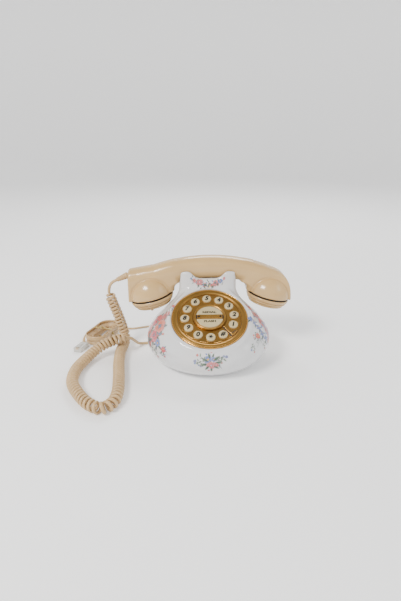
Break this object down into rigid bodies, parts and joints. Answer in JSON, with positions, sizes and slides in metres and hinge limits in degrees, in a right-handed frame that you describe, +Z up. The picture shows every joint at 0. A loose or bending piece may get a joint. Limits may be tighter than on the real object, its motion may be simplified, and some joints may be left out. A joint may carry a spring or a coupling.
{
  "type": "cradle telephone",
  "caption": "Porcelain desk telephone in the French cradle style, with push keys in a round gold dial face, a plastic handset on a curly cord, and a flat line cord tied in a hank.",
  "frame": {"origin": "on the surface the telephone stands on, under the middle of the telephone with its handset on the cradle and without its cords", "axes": "+X along the handset from its mouth end to its ear end, +Y from the dial to the back, +Z up"},
  "size_m": [0.3027, 0.2523, 0.1323],
  "materials": {
    "porcelain": "white glaze with painted flowers",
    "gold_trim": "satin gold plating",
    "key_plastic": "cream with black figures",
    "handset_plastic": "glossy almond",
    "cord_plastic": "almond vinyl",
    "dark_screw": "blackened",
    "dark_plastic": "moulded black",
    "base_plastic": "moulded grey",
    "clear_plastic": "clear to milky",
    "circuit_board": "green solder mask",
    "steel": "zinc plated",
    "rubber": "matt",
    "tie": "yellow twist tie"
  },
  "bodies": {
    "root": {"porcelain_body": "porcelain", "base_plate": "base_plastic", "foot_1": "rubber", "foot_2": "rubber", "foot_3": "rubber", "foot_4": "rubber", "base_screw_1": "steel", "base_screw_2": "steel", "base_screw_3": "steel", "base_screw_4": "steel", "main_board": "circuit_board", "ringer": "dark_plastic", "dial_bezel": "gold_trim", "dial_plate": "gold_trim", "center_ring": "gold_trim", "finger_stop": "gold_trim", "key_carrier": "base_plastic", "key_mat": "rubber", "keypad_board": "circuit_board", "dial_screw_1": "dark_screw", "dial_screw_2": "dark_screw", "hook_spring": "steel", "hook_bracket": "base_plastic", "hook_switch": "dark_plastic", "handset_cord_bush": "cord_plastic", "line_cord_bush": "cord_plastic", "curly_cord": "cord_plastic", "cord_base_lead": "cord_plastic", "line_cord": "cord_plastic", "line_cord_hank": "cord_plastic", "hank_tie": "tie", "line_plug": "clear_plastic"},
    "handset": {"handset_body": "handset_plastic", "mouth_cap": "handset_plastic", "ear_cap": "handset_plastic", "microphone_capsule": "dark_plastic", "receiver_capsule": "dark_plastic", "handset_weight": "steel", "handset_strain_relief": "cord_plastic", "cord_handset_lead": "cord_plastic"},
    "plunger": {"hook_plunger": "base_plastic"},
    "key_1": {"key_1": "key_plastic"},
    "key_2": {"key_2": "key_plastic"},
    "key_3": {"key_3": "key_plastic"},
    "key_4": {"key_4": "key_plastic"},
    "key_5": {"key_5": "key_plastic"},
    "key_6": {"key_6": "key_plastic"},
    "key_7": {"key_7": "key_plastic"},
    "key_8": {"key_8": "key_plastic"},
    "key_9": {"key_9": "key_plastic"},
    "key_0": {"key_0": "key_plastic"},
    "key_star": {"key_star": "key_plastic"},
    "key_hash": {"key_hash": "key_plastic"},
    "redial": {"redial_key": "key_plastic"},
    "flash": {"flash_key": "key_plastic"},
    "ringer_slide": {"ringer_switch": "dark_plastic"},
    "tone_slide": {"tone_pulse_switch": "dark_plastic"}
  },
  "joints": [
    {"name": "handset_lift", "type": "slide", "parent": "root", "child": "handset", "axis": [0, 0, 1], "range_m": [0, 0.12]},
    {"name": "hook_rise", "type": "slide", "parent": "root", "child": "plunger", "axis": [0, 0, 1], "range_m": [0, 0.004], "deforming": ["hook_spring"]},
    {"name": "key_1_press", "type": "slide", "parent": "root", "child": "key_1", "axis": [0, 0.4695, -0.8829], "range_m": [0, 0.0016], "stiffness_N_per_m": 350},
    {"name": "key_2_press", "type": "slide", "parent": "root", "child": "key_2", "axis": [0, 0.4695, -0.8829], "range_m": [0, 0.0016], "stiffness_N_per_m": 350},
    {"name": "key_3_press", "type": "slide", "parent": "root", "child": "key_3", "axis": [0, 0.4695, -0.8829], "range_m": [0, 0.0016], "stiffness_N_per_m": 350},
    {"name": "key_4_press", "type": "slide", "parent": "root", "child": "key_4", "axis": [0, 0.4695, -0.8829], "range_m": [0, 0.0016], "stiffness_N_per_m": 350},
    {"name": "key_5_press", "type": "slide", "parent": "root", "child": "key_5", "axis": [0, 0.4695, -0.8829], "range_m": [0, 0.0016], "stiffness_N_per_m": 350},
    {"name": "key_6_press", "type": "slide", "parent": "root", "child": "key_6", "axis": [0, 0.4695, -0.8829], "range_m": [0, 0.0016], "stiffness_N_per_m": 350},
    {"name": "key_7_press", "type": "slide", "parent": "root", "child": "key_7", "axis": [0, 0.4695, -0.8829], "range_m": [0, 0.0016], "stiffness_N_per_m": 350},
    {"name": "key_8_press", "type": "slide", "parent": "root", "child": "key_8", "axis": [0, 0.4695, -0.8829], "range_m": [0, 0.0016], "stiffness_N_per_m": 350},
    {"name": "key_9_press", "type": "slide", "parent": "root", "child": "key_9", "axis": [0, 0.4695, -0.8829], "range_m": [0, 0.0016], "stiffness_N_per_m": 350},
    {"name": "key_0_press", "type": "slide", "parent": "root", "child": "key_0", "axis": [0, 0.4695, -0.8829], "range_m": [0, 0.0016], "stiffness_N_per_m": 350},
    {"name": "key_star_press", "type": "slide", "parent": "root", "child": "key_star", "axis": [0, 0.4695, -0.8829], "range_m": [0, 0.0016], "stiffness_N_per_m": 350},
    {"name": "key_hash_press", "type": "slide", "parent": "root", "child": "key_hash", "axis": [0, 0.4695, -0.8829], "range_m": [0, 0.0016], "stiffness_N_per_m": 350},
    {"name": "redial_press", "type": "slide", "parent": "root", "child": "redial", "axis": [0, 0.4695, -0.8829], "range_m": [0, 0.0016], "stiffness_N_per_m": 350},
    {"name": "flash_press", "type": "slide", "parent": "root", "child": "flash", "axis": [0, 0.4695, -0.8829], "range_m": [0, 0.0016], "stiffness_N_per_m": 350},
    {"name": "ringer_switch_slide", "type": "slide", "parent": "root", "child": "ringer_slide", "axis": [0, 1, 0], "range_m": [0, 0.004]},
    {"name": "tone_switch_slide", "type": "slide", "parent": "root", "child": "tone_slide", "axis": [0, 1, 0], "range_m": [0, 0.004]}
  ],
  "couplings": [
    {"joint": "hook_rise", "follows": "handset_lift", "ratio": 0.033333}
  ]
}
